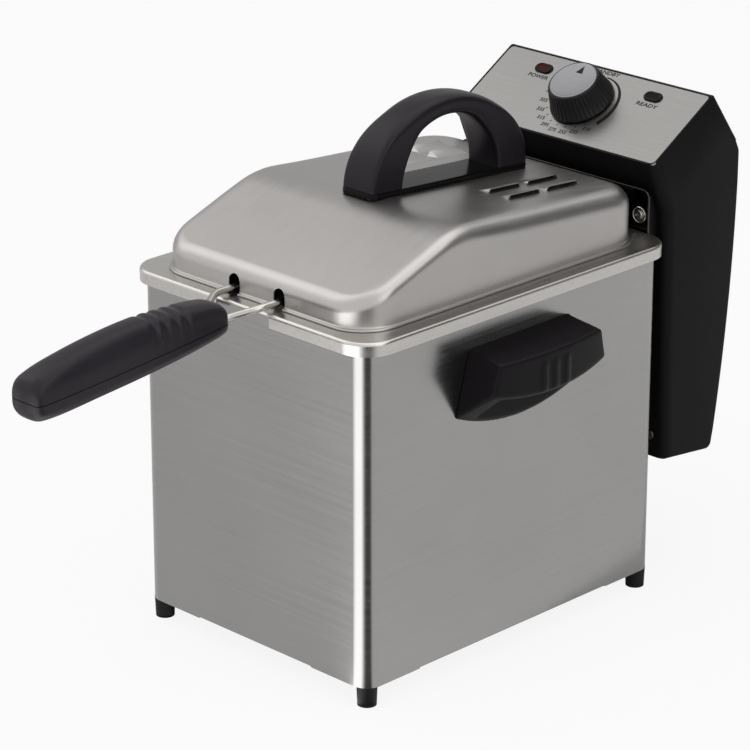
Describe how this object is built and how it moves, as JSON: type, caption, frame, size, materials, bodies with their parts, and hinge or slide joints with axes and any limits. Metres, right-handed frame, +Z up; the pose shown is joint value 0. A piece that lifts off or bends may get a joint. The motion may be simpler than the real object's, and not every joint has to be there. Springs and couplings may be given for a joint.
{
  "type": "deep fryer",
  "caption": "Countertop deep fryer: steel housing, lift-out oil pot, lift-off control head with heating element, mesh basket with pull-off handle, vented lid.",
  "frame": {"origin": "middle of the whole outline, on the counter under the feet", "axes": "+Z up, +Y from the basket handle to the control head, +X to the right seen from the front"},
  "size_m": [0.2496, 0.5066, 0.3208],
  "materials": {
    "brushed_steel": "fine vertical brushing",
    "pot_steel": "satin, pressed",
    "bright_steel": "bright",
    "black_plastic": "satin moulded",
    "gloss_black_plastic": "gloss",
    "head_plastic": "fine grain",
    "knob_cap_aluminium": "spun",
    "dark_steel": "heat dulled",
    "basket_wire": "plated",
    "red_lens": "clear moulded",
    "dark_lens": "clear moulded",
    "red_button": "satin",
    "pale_plastic": "satin",
    "brass_contact": "plain"
  },
  "bodies": {
    "housing": {"housing_shell": "brushed_steel", "base_plate": "brushed_steel", "feet": "black_plastic", "foot_screws": "bright_steel", "rear_guide": "brushed_steel", "guide_rivets": "bright_steel", "side_handle_right": "black_plastic", "side_handle_left": "black_plastic", "side_handle_screws": "bright_steel"},
    "pot": {"oil_pot": "pot_steel"},
    "head": {"head_shell": "head_plastic", "head_front_plate": "head_plastic", "front_plate_screws": "bright_steel", "control_panel": "brushed_steel", "power_lamp": "red_lens", "ready_lamp": "dark_lens", "element_bracket": "bright_steel", "bracket_screws": "bright_steel", "element_hood": "bright_steel", "heating_element": "dark_steel", "element_ties": "bright_steel", "thermostat_bulb": "bright_steel", "thermostat": "black_plastic", "terminal_block": "pale_plastic", "thermal_cutout": "black_plastic", "inlet_socket": "black_plastic", "inlet_pins": "brass_contact"},
    "knob": {"knob_skirt": "black_plastic", "knob_cap": "knob_cap_aluminium", "thermostat_shaft": "bright_steel"},
    "reset": {"reset_button": "red_button"},
    "basket": {"basket_mesh": "basket_wire", "basket_rim": "basket_wire", "basket_hanger": "basket_wire"},
    "basket_handle": {"handle_wires": "basket_wire", "grip_upper": "black_plastic", "grip_lower": "black_plastic", "grip_screws": "bright_steel"},
    "lid": {"lid_shell": "brushed_steel", "lid_handle": "black_plastic", "lid_handle_base": "gloss_black_plastic", "lid_handle_screws": "bright_steel"}
  },
  "joints": [
    {"name": "pot_lift", "type": "slide", "parent": "housing", "child": "pot", "axis": [0, 0, 1], "range_m": [0, 0.2]},
    {"name": "head_lift", "type": "slide", "parent": "pot", "child": "head", "axis": [0, 0, 1], "range_m": [0, 0.2]},
    {"name": "basket_lift", "type": "slide", "parent": "head", "child": "basket", "axis": [0, 0, 1], "range_m": [0, 0.16]},
    {"name": "lid_lift", "type": "slide", "parent": "basket", "child": "lid", "axis": [0, 0, 1], "range_m": [0, 0.12]},
    {"name": "basket_handle_pull", "type": "slide", "parent": "basket", "child": "basket_handle", "axis": [0, -1, 0], "range_m": [0, 0.035]},
    {"name": "knob_turn", "type": "hinge", "parent": "head", "child": "knob", "pos_m": [0, 0.19935, 0.28799], "axis": [0, 0.5173, -0.8558], "range_deg": [0, 300]},
    {"name": "reset_press", "type": "slide", "parent": "head", "child": "reset", "axis": [0, -1, 0], "range_m": [0, 0.002], "stiffness_N_per_m": 400}
  ]
}
